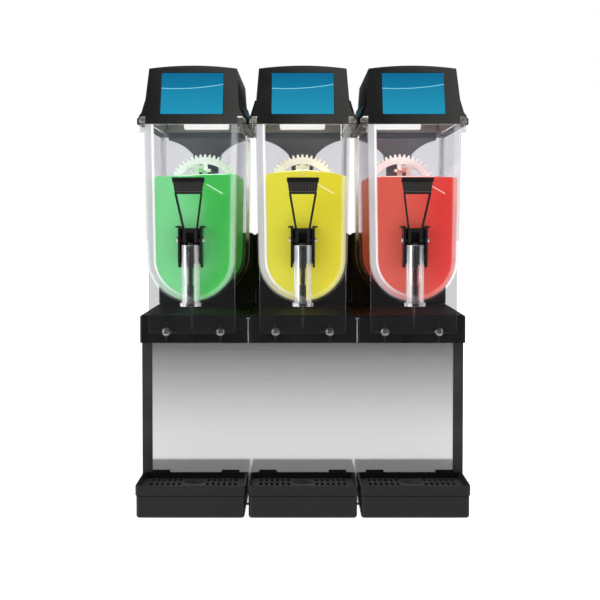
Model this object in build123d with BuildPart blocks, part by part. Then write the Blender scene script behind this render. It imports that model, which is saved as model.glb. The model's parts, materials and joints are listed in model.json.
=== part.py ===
from build123d import *
import os
from math import atan2, cos, pi, radians, sin, sqrt, tan

# A counter-top frozen drink dispenser with three bowls. Millimetres. X runs to the right,
# Y runs to the back and Z runs up. The origin is on the counter, under the middle of the machine.

# ---- Driving dimensions ---------------------------------------------------------------------
PITCH = 200.0                    # width of one bowl module
SIDES = {"left": -PITCH, "centre": 0.0, "right": PITCH}
HALF_MODULE = 99.0               # half width of the covers of one module
HALF_WIDTH = 1.5 * PITCH         # half width of the whole machine
WALL = 3.0                       # moulded covers
SHEET = 1.5                      # folded steel sheet
FIT = 0.06                       # radial clearance of a shaft in its bore
GAP = 0.3                        # clearance between parts that slide or lie beside each other

# Stations along Y, from the front to the back.
TRAY_FRONT = -240.0
TAP_Y = -215.0
BOWL_FRONT = -188.0
DECK_FRONT = -144.0
TRAY_REAR = -102.0
PANEL_FRONT = -99.0
BOWL_REAR = 192.5
SEAL_FRONT = 193.0
PLATE_FRONT = 195.0
PLATE_REAR = 199.0
HOUSING_FRONT = 212.0
MAST_FRONT = 235.0
BACK_SHEET = 266.0
BACK = 270.0

# Heights.
FOOT_HEIGHT = 12.0
TRAY_BOTTOM = 17.0
TRAY_TOP = 75.0
DECK_BOTTOM = 321.0
DECK_TOP = 372.0
HOUSING_TOP = 519.0
BOWL_TOP = 718.7
LID_BOTTOM = 719.0
LID_TOP = 829.0

# Bowl, cold drum and the two turning parts in the bowl.
DRUM_Z = 477.0                   # axis of the cold drum, and of the round bottom of the bowl
DRUM_RADIUS = 46.0
BOWL_RADIUS = 80.0
BOWL_TOP_HALF = 84.5
BOWL_WALL = 3.0
SLUSH_LEVEL = 624.0
SHAFT_RADIUS = 6.0
AUGER_RADIUS = 75.5
GEAR_MODULE = 3.0
AUGER_TEETH = 36
WHEEL_TEETH = 49
WHEEL_Z = DRUM_Z + GEAR_MODULE * (AUGER_TEETH + WHEEL_TEETH) / 2
GEAR_FRONT = 178.0
GEAR_WIDTH = 11.0

# Tap.
PIVOT_Z = 511.0
PIVOT_RADIUS = 3.0
TAP_BOTTOM = 393.0
TAP_BODY_TOP = 502.0
TAP_RADIUS = 16.0
TAP_FLANGE = 19.0
TAP_BORE = 6.2
PISTON_RADIUS = 5.85

KNOB_X = 49.5                    # star knobs, either side of the middle of each module
KNOB_Z = 342.0


def upright(x, y, z=0.0):
    """Plane that faces the front: sketches read right and up, and extrusions run forward."""
    return Plane(origin=(x, y, z), x_dir=(1, 0, 0), z_dir=(0, -1, 0))


def sideways(x, y=0.0, z=0.0):
    """Plane that faces right: sketches read back and up, and extrusions run right."""
    return Plane(origin=(x, y, z), x_dir=(0, 1, 0), z_dir=(1, 0, 0))


def level(z, x=0.0, y=0.0):
    """Level plane: sketches read right and back, and extrusions run up."""
    return Plane(origin=(x, y, z))


def finish(piece, name):
    """Label a finished piece and write it."""
    piece.part.label = name
    export_step(piece.part, f"parts/{name}.step")


def box_between(low, high, mode=Mode.ADD):
    """Box from its lowest corner to its highest corner, in the active part."""
    middle = [(a + b) / 2 for a, b in zip(low, high)]
    with Locations(tuple(middle)):
        Box(*[b - a for a, b in zip(low, high)], mode=mode)


def rod(x, front, back, z, radius, mode=Mode.ADD):
    """Round bar along Y, in the active part."""
    with BuildSketch(upright(x, back, z)) as disc:
        Circle(radius)
    extrude(disc.sketch, amount=back - front, mode=mode)


# ---- Cabinet --------------------------------------------------------------------------------
POST_X = 281.0                   # inner face of the front posts
PAN_HALF = 280.0
PAN_HEIGHT = 26.0
HOOK_X = 65.0                    # tray hooks, either side of the middle of each tray
HOOK_WIDTH = 31.0
HOOK_LOW = 62.0
HOOK_HIGH = 78.0
LOUVRE_Y = 110.0                 # middle of the louvres in the side panels
LOUVRE_Z = 160.0
FAN_Z = 150.0
FAN_RADIUS = 66.0
INLET_X = 212.0
SWITCH_X = 165.0
SOCKET_Z = 60.0
ENTRY_LOW = (148.0, 40.0)        # corners of the power entry plate, as X and Z
ENTRY_HIGH = (242.0, 82.0)
ENTRY_LAP = 4.0                  # how far that plate laps over the rear panel


def make_feet():
    with BuildPart() as feet:
        with BuildSketch(level(0, 0, 84)):
            with GridLocations(500, 300, 2, 2):
                Circle(19)
        extrude(amount=FOOT_HEIGHT)
        chamfer(feet.edges().group_by(Axis.Z)[0], 2)
    finish(feet, "feet")


def make_base_pan():
    with BuildPart() as pan:
        low = FOOT_HEIGHT
        box_between((-PAN_HALF, PANEL_FRONT + SHEET, low), (PAN_HALF, BACK_SHEET - SHEET, low + PAN_HEIGHT))
        fillet(pan.edges().filter_by(Axis.Y).group_by(Axis.Z)[0], 2)
        box_between(
            (SHEET - PAN_HALF, PANEL_FRONT + 2 * SHEET, low + SHEET),
            (PAN_HALF - SHEET, BACK_SHEET - 2 * SHEET, low + PAN_HEIGHT + 1),
            Mode.SUBTRACT,
        )
    finish(pan, "base_pan")


def make_front_panel():
    """Brushed steel front with a slot behind each tray hook."""
    with BuildPart() as panel:
        box_between((-POST_X, PANEL_FRONT, TRAY_BOTTOM), (POST_X, PANEL_FRONT + SHEET, DECK_BOTTOM))
        for x in SIDES.values():
            for hook in (x - HOOK_X, x + HOOK_X):
                box_between(
                    (hook - HOOK_WIDTH / 2 - 1, PANEL_FRONT - 1, HOOK_LOW - 1),
                    (hook + HOOK_WIDTH / 2 + 1, PANEL_FRONT + SHEET + 1, HOOK_HIGH + 1),
                    Mode.SUBTRACT,
                )
    finish(panel, "front_panel")


def make_front_posts():
    """Channel-shaped corner posts, open to the back."""
    depth = 30.0
    front = PANEL_FRONT - 2
    with BuildPart() as posts:
        for side in (-1, 1):
            edges = sorted((side * POST_X, side * HALF_WIDTH))
            inner = (edges[0] + 2, edges[1] - 2)
            box_between((edges[0], front, FOOT_HEIGHT), (edges[1], front + depth, DECK_BOTTOM))
            box_between(
                (inner[0], front + 2, FOOT_HEIGHT - 1),
                (inner[1], front + depth + 1, DECK_BOTTOM + 1),
                Mode.SUBTRACT,
            )
        corners = posts.edges().filter_by(Axis.Z).group_by(Axis.Y)[0]
        fillet(corners, 1.5)
    finish(posts, "front_posts")


def make_side_panels():
    """Folded sheets with returned edges and a block of louvre slots."""
    front = PANEL_FRONT + 28
    with BuildPart() as panels:
        for side in (-1, 1):
            outer = side * HALF_WIDTH
            skin = sorted((outer, outer - side * SHEET))
            fold = sorted((outer, outer - side * 19))
            box_between((skin[0], front, FOOT_HEIGHT), (skin[1], BACK_SHEET, DECK_BOTTOM))
            for z in (FOOT_HEIGHT, DECK_BOTTOM - SHEET):
                box_between((fold[0], front, z), (fold[1], BACK_SHEET, z + SHEET))
            box_between((fold[0], BACK_SHEET - SHEET, FOOT_HEIGHT), (fold[1], BACK_SHEET, DECK_BOTTOM))
            with BuildSketch(sideways(skin[0] - 1, LOUVRE_Y, LOUVRE_Z)):
                with GridLocations(90, 14, 2, 10):
                    SlotOverall(76, 5)
            extrude(amount=SHEET + 2, mode=Mode.SUBTRACT)
    finish(panels, "side_panels")


def make_rear_panel():
    """Sheet with vents behind the fan, notched at its foot for the power entry plate."""
    half = HALF_WIDTH - 19.5
    with BuildPart() as panel:
        foot = FOOT_HEIGHT + PAN_HEIGHT
        box_between((-half, BACK_SHEET - SHEET, foot + 1), (half, BACK_SHEET, DECK_BOTTOM))
        with BuildSketch(upright(0, BACK_SHEET + 1, FAN_Z)):
            with GridLocations(0, 12, 1, 11):
                SlotOverall(136, 6)
        extrude(amount=SHEET + 2, mode=Mode.SUBTRACT)
        box_between(
            (ENTRY_LOW[0] + ENTRY_LAP, BACK_SHEET - SHEET - 1, foot),
            (ENTRY_HIGH[0] - ENTRY_LAP, BACK_SHEET + 1, ENTRY_HIGH[1] - ENTRY_LAP),
            Mode.SUBTRACT,
        )
    finish(panel, "rear_panel")


def make_screws():
    """Pan heads that hold the rear panel."""
    with BuildPart() as screws:
        with BuildSketch(upright(0, BACK_SHEET, 180)):
            with GridLocations(530, 115, 2, 3):
                Circle(4)
        extrude(amount=-2.2)
        fillet(screws.edges().group_by(Axis.Y)[-1], 1.2)
        with BuildSketch(upright(0, BACK_SHEET + 2.3, 180)):
            with GridLocations(530, 115, 2, 3):
                Rectangle(5, 1)
                Rectangle(1, 5)
        extrude(amount=1.2, mode=Mode.SUBTRACT)
    finish(screws, "screws")


def make_power_inlet():
    """Power entry plate: a three-pin socket and, beside it, the case of the rocker switch."""
    socket = (12.0, 9.0)         # half width and half height of each hollow
    switch = (7.5, 12.0)
    wall = 2.0
    with BuildPart() as inlet:
        box_between((ENTRY_LOW[0], BACK_SHEET, ENTRY_LOW[1]), (ENTRY_HIGH[0], BACK - 1, ENTRY_HIGH[1]))
        fillet(inlet.edges().filter_by(Axis.Y), 4)
        for x, half, front in ((INLET_X, socket, 244), (SWITCH_X, switch, 250)):
            box_between(
                (x - half[0] - wall, front, SOCKET_Z - half[1] - wall),
                (x + half[0] + wall, BACK_SHEET, SOCKET_Z + half[1] + wall),
            )
        with BuildSketch(upright(INLET_X, BACK, SOCKET_Z)):
            RectangleRounded(34, 26, 4)
        extrude(amount=1)
        for x, half, front in ((INLET_X, socket, 247), (SWITCH_X, switch, 252)):
            box_between(
                (x - half[0], front, SOCKET_Z - half[1]),
                (x + half[0], BACK + 1, SOCKET_Z + half[1]),
                Mode.SUBTRACT,
            )
        for x, z in ((-7, -2), (0, 3), (7, -2)):
            box_between(
                (INLET_X + x - 1, 246, SOCKET_Z + z - 2.5), (INLET_X + x + 1, 257, SOCKET_Z + z + 2.5)
            )
    finish(inlet, "power_inlet")


SWITCH_PIVOT_Y = 262.0
SWITCH_TILT = 7.0


def make_power_switch():
    """Rocker that stands tilted, with its lower half pressed in."""
    tilt = radians(SWITCH_TILT)
    plane = Plane(
        origin=(SWITCH_X - 6.5, SWITCH_PIVOT_Y, SOCKET_Z), x_dir=(0, cos(tilt), sin(tilt)), z_dir=(1, 0, 0)
    )
    with BuildPart() as rocker:
        with BuildSketch(plane):
            with BuildLine():
                Polyline((-5, -6), (4, -10), (6.2, -10))
                ThreePointArc((6.2, -10), (4.6, 0), (6.2, 10))
                Polyline((6.2, 10), (4, 10), (-5, 6), (-5, -6))
            make_face()
        extrude(amount=13)
    finish(rocker, "power_switch")


POT_AT = (-165.0, 60.0)          # middle of the compressor, as X and Y
POT_RADII = (62.0, 56.0)


def make_compressor():
    """Welded pot on its foot plate, with the seam band round its middle."""
    with BuildPart() as compressor:
        floor = FOOT_HEIGHT + SHEET
        with BuildSketch(level(floor, *POT_AT)):
            RectangleRounded(150, 130, 12)
        extrude(amount=4)
        with BuildSketch(level(floor + 4, *POT_AT)):
            Ellipse(*POT_RADII)
        extrude(amount=170)
        fillet(compressor.edges().group_by(Axis.Z)[-1], 34)
        with BuildSketch(level(floor + 90, *POT_AT)):
            Ellipse(POT_RADII[0] + 2, POT_RADII[1] + 2)
        extrude(amount=5)
    finish(compressor, "compressor")


def make_condenser():
    """Finned block across the air path."""
    floor = FOOT_HEIGHT + SHEET
    with BuildPart() as condenser:
        box_between((-110, 190, floor), (110, 220, 250))
        with BuildSketch(upright(0, 221, FAN_Z)):
            with GridLocations(9, 0, 23, 1):
                Rectangle(5, 180)
        extrude(amount=32, mode=Mode.SUBTRACT)
    finish(condenser, "condenser")


def make_fan_shroud():
    """Plate with a round mouth, and the fan motor on three arms across it."""
    with BuildPart() as shroud:
        floor = FOOT_HEIGHT + SHEET
        box_between((-110, 220, floor), (110, 223, 250))
        rod(0, 219, 224, FAN_Z, FAN_RADIUS + 6, Mode.SUBTRACT)
        with BuildSketch(upright(0, 223, FAN_Z)):
            with PolarLocations(40, 3, start_angle=90):
                Rectangle(80, 8)
            Circle(20)
        extrude(amount=3)
        rod(0, 223, 236, FAN_Z, 18)
        rod(0, 236, 250, FAN_Z, 3)
    finish(shroud, "fan_shroud")


def make_fan():
    """Hub with pitched blades, on the motor's stub."""
    blades = 5
    pitch = radians(28)
    with BuildPart() as fan:
        for index in range(blades):
            turn = 2 * pi * index / blades
            radial = (cos(turn), 0, sin(turn))
            normal = (-sin(turn) * sin(pitch), cos(pitch), cos(turn) * sin(pitch))
            with BuildSketch(Plane(origin=(0, 245, FAN_Z), x_dir=radial, z_dir=normal)):
                with Locations((FAN_RADIUS / 2 + 6, 0)):
                    RectangleRounded(FAN_RADIUS - 14, 26, 8)
            extrude(amount=1, both=True)
        rod(0, 238, 253, FAN_Z, 17)
        rod(0, 237, 251, FAN_Z, 3 + FIT, Mode.SUBTRACT)
    finish(fan, "fan")


# ---- Deck, rear housings, masts and lamps ---------------------------------------------------
MAST_HALF = 22.7
HEAD_HALF = 80.0
HEAD_TOP = 760.0
LAMP_Z = 742.0


def make_deck_covers():
    """Low covers over the cabinet. The front edge overhangs the steel panel."""
    with BuildPart() as deck:
        for x in SIDES.values():
            low = x - HALF_MODULE
            high = x + HALF_MODULE
            box_between((low, DECK_FRONT, DECK_BOTTOM), (high, BACK, DECK_TOP))
        front = deck.edges().filter_by(Axis.Z).group_by(Axis.Y)[0]
        fillet(front, 5)
        fillet(deck.edges().filter_by(Axis.X).group_by(Axis.Y)[0].sort_by(Axis.Z)[-3:], 4)
        for x in SIDES.values():
            low = x - HALF_MODULE + WALL
            high = x + HALF_MODULE - WALL
            box_between(
                (low, PANEL_FRONT + WALL, DECK_BOTTOM - 1),
                (high, BACK - WALL, DECK_TOP - WALL),
                Mode.SUBTRACT,
            )
            box_between(
                (low + 3, DECK_FRONT + WALL, DECK_BOTTOM + WALL),
                (high - 3, PANEL_FRONT + 2 * WALL, DECK_TOP - WALL),
                Mode.SUBTRACT,
            )
            for knob in (x - KNOB_X, x + KNOB_X):
                rod(knob, DECK_FRONT - 1, DECK_FRONT + 5, KNOB_Z, 4 + FIT, Mode.SUBTRACT)
    finish(deck, "deck_covers")


def make_rear_housings():
    """Upright covers over the gear motors, vented at the back."""
    with BuildPart() as housings:
        for x in SIDES.values():
            box_between((x - HALF_MODULE, HOUSING_FRONT, DECK_TOP), (x + HALF_MODULE, BACK, HOUSING_TOP))
        fillet(housings.edges().filter_by(Axis.Y).group_by(Axis.Z)[-1], 9)
        fillet(housings.edges().filter_by(Axis.Z).group_by(Axis.Y)[0], 3)
        for x in SIDES.values():
            box_between(
                (x - HALF_MODULE + WALL, HOUSING_FRONT + WALL, DECK_TOP - 1),
                (x + HALF_MODULE - WALL, BACK - WALL, HOUSING_TOP - WALL),
                Mode.SUBTRACT,
            )
            rod(x, HOUSING_FRONT - 1, HOUSING_FRONT + WALL + 1, DRUM_Z, 12, Mode.SUBTRACT)
            with BuildSketch(upright(x, BACK + 1, 430)):
                with GridLocations(0, 11, 1, 6):
                    SlotOverall(90, 4)
            extrude(amount=WALL + 2, mode=Mode.SUBTRACT)
    finish(housings, "rear_housings")


def make_gear_motors():
    """Worm gear case on the drum's axis, with its motor hanging below it."""
    with BuildPart() as motors:
        for x in SIDES.values():
            with BuildSketch(upright(x, 248, DRUM_Z)):
                RectangleRounded(72, 66, 10)
            extrude(amount=30)
            with BuildSketch(level(DECK_TOP + 4, x, 241)):
                Circle(22)
            extrude(amount=DRUM_Z - 33 - DECK_TOP - 4)
            rod(x, 217, 249, DRUM_Z, SHAFT_RADIUS + FIT, Mode.SUBTRACT)
    finish(motors, "gear_motors")


def make_masts():
    """Slim posts on the rear housings that flare under the lamp heads."""
    with BuildPart() as masts:
        for x in SIDES.values():
            with BuildSketch(upright(x, BACK, 0)):
                with BuildLine() as half:
                    Polyline((0, HOUSING_TOP), (MAST_HALF, HOUSING_TOP), (MAST_HALF, 655), (29, 683))
                    ThreePointArc((29, 683), (52, 702), (HEAD_HALF, 713))
                    Polyline((HEAD_HALF, 713), (HEAD_HALF, 728), (0, 728))
                    mirror(half.line, about=Plane.YZ)
                make_face()
            extrude(amount=BACK - MAST_FRONT)
            box_between((x - HEAD_HALF, MAST_FRONT - 6, 728), (x + HEAD_HALF, BACK, HEAD_TOP))
            box_between(
                (x - HEAD_HALF + WALL, MAST_FRONT, 733),
                (x + HEAD_HALF - WALL, BACK - WALL, HEAD_TOP - WALL),
                Mode.SUBTRACT,
            )
            box_between((x - 20, BACK - WALL - 1, 733), (x + 20, BACK + 1, HEAD_TOP - WALL), Mode.SUBTRACT)
    finish(masts, "masts")


def make_lamp_lenses():
    """Frosted covers of the lamps that light the bowls."""
    with BuildPart() as lenses:
        for x in SIDES.values():
            with BuildSketch(upright(x, MAST_FRONT - 6, LAMP_Z)):
                RectangleRounded(94, 16, 4)
            extrude(amount=4)
        fillet(lenses.edges().group_by(Axis.Y)[0], 1.5)
    finish(lenses, "lamp_lenses")


# ---- Cold drums, back plates and seals ------------------------------------------------------
def trough(half_top, radius, top, x, y):
    """Sketch of a trough: round bottom about the drum's axis and nearly straight sides."""
    with BuildSketch(upright(x, y)) as sketch:
        with BuildLine():
            ThreePointArc((-radius, DRUM_Z), (0, DRUM_Z - radius), (radius, DRUM_Z))
            Polyline((radius, DRUM_Z), (half_top, top), (-half_top, top), (-radius, DRUM_Z))
        make_face()
    return sketch.sketch


def make_evaporators():
    """Hollow cold drums with a flange behind the back plate and a tube for the drive shaft."""
    with BuildPart() as drums:
        for x in SIDES.values():
            rod(x, -122, PLATE_REAR, DRUM_Z, DRUM_RADIUS)
            rod(x, PLATE_REAR, HOUSING_FRONT, DRUM_Z, 62)
            with BuildSketch(upright(x, HOUSING_FRONT + 1, DRUM_Z)):
                Circle(DRUM_RADIUS - 2.5)
                Circle(10, mode=Mode.SUBTRACT)
            extrude(amount=HOUSING_FRONT + 119, mode=Mode.SUBTRACT)
            rod(x, -123, HOUSING_FRONT + 1, DRUM_Z, SHAFT_RADIUS + FIT, Mode.SUBTRACT)
    finish(drums, "evaporators")


def make_back_plates():
    """Clear plates that close the bowls behind the gears. Each has a boss for the wheel's axle."""
    with BuildPart() as plates:
        for x in SIDES.values():
            extrude(trough(93, 91, 714, x, PLATE_REAR), amount=PLATE_REAR - PLATE_FRONT)
            rod(x, PLATE_REAR - 1, PLATE_REAR + 7, WHEEL_Z, 11)
            rod(x, PLATE_FRONT - 1, PLATE_REAR + 1, DRUM_Z, DRUM_RADIUS + GAP, Mode.SUBTRACT)
            rod(x, PLATE_FRONT - 1, PLATE_REAR + 8, WHEEL_Z, 5 + FIT, Mode.SUBTRACT)
    finish(plates, "back_plates")


def make_bowl_seals():
    """U-shaped rubber seals between the bowls' flanges and the back plates."""
    with BuildPart() as seals:
        for x in SIDES.values():
            extrude(trough(91, 89, 712, x, PLATE_FRONT), amount=PLATE_FRONT - SEAL_FRONT)
            hollow = trough(85, 83, 713, x, PLATE_FRONT + 1)
            extrude(hollow, amount=PLATE_FRONT - SEAL_FRONT + 2, mode=Mode.SUBTRACT)
    finish(seals, "bowl_seals")


# ---- Bowls and slush ------------------------------------------------------------------------
SKIRT_LOW = 342.0
SKIRT_HALF = 78.0
OUTLET_Z = 421.0
LUG_X = 88.3                     # corner lugs that the lid drops between
LUG_LOW = 704.0
LUG_HEIGHT = 26.0


def make_bowl(side, x):
    """Clear trough with a flat front that runs on down as a skirt, and the tap's clear body."""
    length = BOWL_REAR - BOWL_FRONT
    inner_front = BOWL_FRONT + BOWL_WALL
    with BuildPart() as bowl:
        extrude(trough(BOWL_TOP_HALF, BOWL_RADIUS, BOWL_TOP, x, BOWL_REAR), amount=length)
        extrude(trough(92, 90, BOWL_TOP, x, BOWL_REAR), amount=3)
        with BuildSketch(upright(x, inner_front)):
            with BuildLine():
                Polyline(
                    (-SKIRT_HALF, DRUM_Z),
                    (-SKIRT_HALF, SKIRT_LOW),
                    (SKIRT_HALF, SKIRT_LOW),
                    (SKIRT_HALF, DRUM_Z),
                    close=True,
                )
            make_face()
            fillet(vertices().group_by(Axis.Y)[0], 6)
        extrude(amount=BOWL_WALL)
        with BuildSketch(upright(x, BOWL_REAR + 1)):
            with BuildLine():
                Polyline((-78, DRUM_Z), (-79, 500), (-90, 714), (-90, BOWL_TOP), (90, BOWL_TOP), (90, 714))
                Polyline((90, 714), (79, 500), (78, DRUM_Z), (-78, DRUM_Z))
            make_face()
            with BuildLine():
                Polyline((-93, 300), (93, 300), (93, 714), (-93, 714), (-93, 300))
            make_face(mode=Mode.SUBTRACT)
        extrude(amount=length + 1)
        # Corner lugs and the small boss on the front wall.
        with BuildSketch(level(LUG_LOW)):
            with Locations((x - LUG_X, BOWL_FRONT + 5.5), (x + LUG_X, BOWL_FRONT + 5.5)):
                Circle(5)
        extrude(amount=LUG_HEIGHT)
        rod(x, BOWL_FRONT - 3, inner_front, 632, 5)
        # Tap body, its foot flange, its spout block and the thin rib below it.
        with BuildSketch(level(TAP_BOTTOM, x, TAP_Y)):
            Circle(TAP_RADIUS)
        extrude(amount=TAP_BODY_TOP - TAP_BOTTOM)
        with BuildSketch(level(TAP_BOTTOM, x, TAP_Y)):
            Circle(TAP_FLANGE)
        extrude(amount=6)
        box_between((x - 8, TAP_Y + 8, TAP_BOTTOM), (x + 8, inner_front, OUTLET_Z + 16))
        with BuildSketch(sideways(x - 1, 0, 0)):
            with BuildLine():
                Polyline(
                    (BOWL_FRONT + 1, TAP_BOTTOM + 1),
                    (TAP_Y + 14, TAP_BOTTOM + 1),
                    (BOWL_FRONT + 1, 346),
                    close=True,
                )
            make_face()
        extrude(amount=2)
        # The hollow, open at the top and at the back.
        hollow = trough(BOWL_TOP_HALF - BOWL_WALL, BOWL_RADIUS - BOWL_WALL, BOWL_TOP + 1, x, BOWL_REAR + 2)
        extrude(hollow, amount=BOWL_REAR + 2 - inner_front, mode=Mode.SUBTRACT)
        # The piston's bore and the passage into it.
        with BuildSketch(level(TAP_BOTTOM - 1, x, TAP_Y)):
            Circle(TAP_BORE)
        extrude(amount=TAP_BODY_TOP - TAP_BOTTOM + 2, mode=Mode.SUBTRACT)
        rod(x, TAP_Y, inner_front + 1, OUTLET_Z, 5, Mode.SUBTRACT)
    finish(bowl, f"bowl_{side}")


def make_slush(side, x):
    """The drink: it fills the bowl round the space that the auger and the mixer sweep."""
    front = BOWL_FRONT + BOWL_WALL + GAP
    rear = GEAR_FRONT - 6
    radius = BOWL_RADIUS - BOWL_WALL - GAP
    flare = (BOWL_TOP_HALF - BOWL_RADIUS) * (SLUSH_LEVEL - DRUM_Z) / (BOWL_TOP - DRUM_Z)
    with BuildPart() as slush:
        extrude(trough(radius + flare, radius, SLUSH_LEVEL, x, rear), amount=rear - front)
        rod(x, -150, rear + 1, DRUM_Z, radius + 1.5, Mode.SUBTRACT)
        rod(x, -72, rear + 1, WHEEL_Z, 51, Mode.SUBTRACT)
    finish(slush, f"slush_{side}")


# ---- Auger and mixer wheel ------------------------------------------------------------------
PRESSURE = radians(20)
BACKLASH = 0.25                  # taken off each tooth, along the pitch circle


def involute_point(base, radius, start, hand):
    """Point at a radius on the flank that leaves the base circle at the start angle."""
    roll = sqrt(max((radius / base) ** 2 - 1, 0))
    angle = start + hand * (roll - atan2(roll, 1))
    return (radius * cos(angle), radius * sin(angle))


def gear_outline(teeth, phase):
    """Spur gear outline in the active line: one tooth is centred on the phase angle."""
    pitch = GEAR_MODULE * teeth / 2
    base = pitch * cos(PRESSURE)
    tip = pitch + GEAR_MODULE
    root = pitch - 1.25 * GEAR_MODULE
    low = max(base, root)
    half = (pi * GEAR_MODULE / 2 - BACKLASH) / (2 * pitch) + tan(PRESSURE) - PRESSURE
    for tooth in range(teeth):
        centre = phase + 2 * pi * tooth / teeth
        following = centre + 2 * pi / teeth
        right = [involute_point(base, r, centre - half, 1) for r in (low, (low + tip) / 2, tip)]
        left = [involute_point(base, r, centre + half, -1) for r in (tip, (low + tip) / 2, low)]
        next_right = involute_point(base, low, following - half, 1)
        middle = centre + pi / teeth
        ThreePointArc(*right)
        ThreePointArc(right[2], (tip * cos(centre), tip * sin(centre)), left[0])
        ThreePointArc(*left)
        valley = (root * cos(middle), root * sin(middle))
        if root < low:
            foot = root / low
            left_foot = (left[2][0] * foot, left[2][1] * foot)
            right_foot = (next_right[0] * foot, next_right[1] * foot)
            Line(left[2], left_foot)
            ThreePointArc(left_foot, valley, right_foot)
            Line(right_foot, next_right)
        else:
            ThreePointArc(left[2], valley, next_right)


RIBBON_INNER = 48.0
RIBBON_FRONT = -138.0
RIBBON_TURNS = 4
RIBBON_PITCH = 76.0
SLEEVE_RADIUS = 47.5


def make_auger(side, x):
    """Spiral scraper on its front hub and drive shaft, and the ring gear behind it."""
    height = RIBBON_TURNS * RIBBON_PITCH
    middle = (RIBBON_INNER + AUGER_RADIUS) / 2
    spiral = Helix(
        pitch=RIBBON_PITCH,
        height=height,
        radius=middle,
        center=(x, RIBBON_FRONT, DRUM_Z),
        direction=(0, 1, 0),
    )
    start = spiral @ 0
    radial = start - Vector(x, RIBBON_FRONT, DRUM_Z)
    with BuildPart() as auger:
        rod(x, -147, -131, DRUM_Z, 58)
        fillet(auger.edges().filter_by(GeomType.CIRCLE).sort_by(Axis.Y)[0], 7)
        rod(x, -135, 244, DRUM_Z, SHAFT_RADIUS)
        with BuildSketch(upright(x, GEAR_FRONT + 1, DRUM_Z)):
            Circle(SLEEVE_RADIUS + 2.5)
            Circle(SLEEVE_RADIUS, mode=Mode.SUBTRACT)
        extrude(amount=10)
        with BuildSketch(upright(x, GEAR_FRONT + GEAR_WIDTH, DRUM_Z)):
            with BuildLine():
                gear_outline(AUGER_TEETH, pi / 2)
            make_face()
            Circle(SLEEVE_RADIUS, mode=Mode.SUBTRACT)
        extrude(amount=GEAR_WIDTH)
        with BuildSketch(Plane(origin=start, x_dir=radial, z_dir=spiral % 0)):
            Rectangle(AUGER_RADIUS - RIBBON_INNER, 5)
        sweep(path=spiral, is_frenet=True)
    finish(auger, f"auger_{side}")


PADDLE_REACH = 42.0              # stirring bars, either side of the wheel's axis
PADDLE_FRONT = -64.0
PADDLE_HALF = 13.0
PADDLE_STATIONS = (-62.0, 42.0, 146.0)


def make_mixer_wheel(side, x):
    """Spoked gear wheel that the auger's ring gear turns, with two stirring bars in front."""
    with BuildPart() as wheel:
        with BuildSketch(upright(x, GEAR_FRONT + GEAR_WIDTH, WHEEL_Z)):
            with BuildLine():
                gear_outline(WHEEL_TEETH, pi / WHEEL_TEETH - pi / 2)
            make_face()
            Circle(56.5, mode=Mode.SUBTRACT)
            Rectangle(10, 114)
            Rectangle(114, 10)
            Circle(14)
        extrude(amount=GEAR_WIDTH)
        rod(x, GEAR_FRONT + GEAR_WIDTH - 1, PLATE_REAR + 5, WHEEL_Z, 5)
        for reach in (-PADDLE_REACH, PADDLE_REACH):
            middle = WHEEL_Z + reach
            rod(x, PADDLE_FRONT, GEAR_FRONT + 1, middle, 5)
            for y in PADDLE_STATIONS:
                box_between((x - PADDLE_HALF, y, middle - 3), (x + PADDLE_HALF, y + 20, middle + 3))
        box_between(
            (x - 5, PADDLE_FRONT - 2, WHEEL_Z - PADDLE_REACH),
            (x + 5, PADDLE_FRONT + 8, WHEEL_Z + PADDLE_REACH),
        )
    finish(wheel, f"mixer_wheel_{side}")


# ---- Tap ------------------------------------------------------------------------------------
EAR_INNER = 18.0
EAR_OUTER = 21.5
EAR_TOP = 536.0
EAR_LOW = 462.0


def make_tap_bracket(side, x):
    """Two ears on a foot plate against the bowl, with the lever's pivot pins riveted in."""
    with BuildPart() as bracket:
        box_between(
            (x - EAR_OUTER, BOWL_FRONT - 4, EAR_LOW + 6), (x + EAR_OUTER, BOWL_FRONT, EAR_TOP - 4)
        )
        for hand in (-1, 1):
            skin = sorted((x + hand * EAR_INNER, x + hand * EAR_OUTER))
            with BuildSketch(sideways(skin[0])):
                with BuildLine():
                    Polyline(
                        (BOWL_FRONT, EAR_LOW),
                        (BOWL_FRONT, EAR_TOP),
                        (TAP_Y - 9, EAR_TOP),
                        (TAP_Y - 11, PIVOT_Z),
                        (TAP_Y - 11, EAR_LOW + 12),
                        (TAP_Y + 2, EAR_LOW),
                        close=True,
                    )
                make_face()
            extrude(amount=EAR_OUTER - EAR_INNER)
            cap = sorted((x + hand * (EAR_INNER - 1), x + hand * 26))
            box_between((cap[0], TAP_Y - 9, EAR_TOP - 3), (cap[1], BOWL_FRONT, EAR_TOP))
            with BuildSketch(sideways(x + hand * 6.8, TAP_Y, PIVOT_Z)):
                Circle(PIVOT_RADIUS)
            extrude(amount=hand * 17)
            with BuildSketch(sideways(x + hand * EAR_OUTER, TAP_Y, PIVOT_Z)):
                Circle(PIVOT_RADIUS + 1.8)
            extrude(amount=hand * 3)
    finish(bracket, f"tap_bracket_{side}")


def make_tap_piston(side, x):
    """Piston with a slim middle, sealed at its foot where it shuts the outlet."""
    radius = PISTON_RADIUS
    with BuildPart() as piston:
        for low, high, size in (
            (399, 431, radius),
            (430, 462, 4),
            (461, PIVOT_Z - 5, radius),
        ):
            with BuildSketch(level(low, x, TAP_Y)):
                Circle(size)
            extrude(amount=high - low)
        for low in (405, 424, 470):
            with BuildSketch(level(low, x, TAP_Y)):
                Circle(radius + 1)
                Circle(radius - 0.8, mode=Mode.SUBTRACT)
            extrude(amount=1.4, mode=Mode.SUBTRACT)
    finish(piston, f"tap_piston_{side}")


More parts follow.
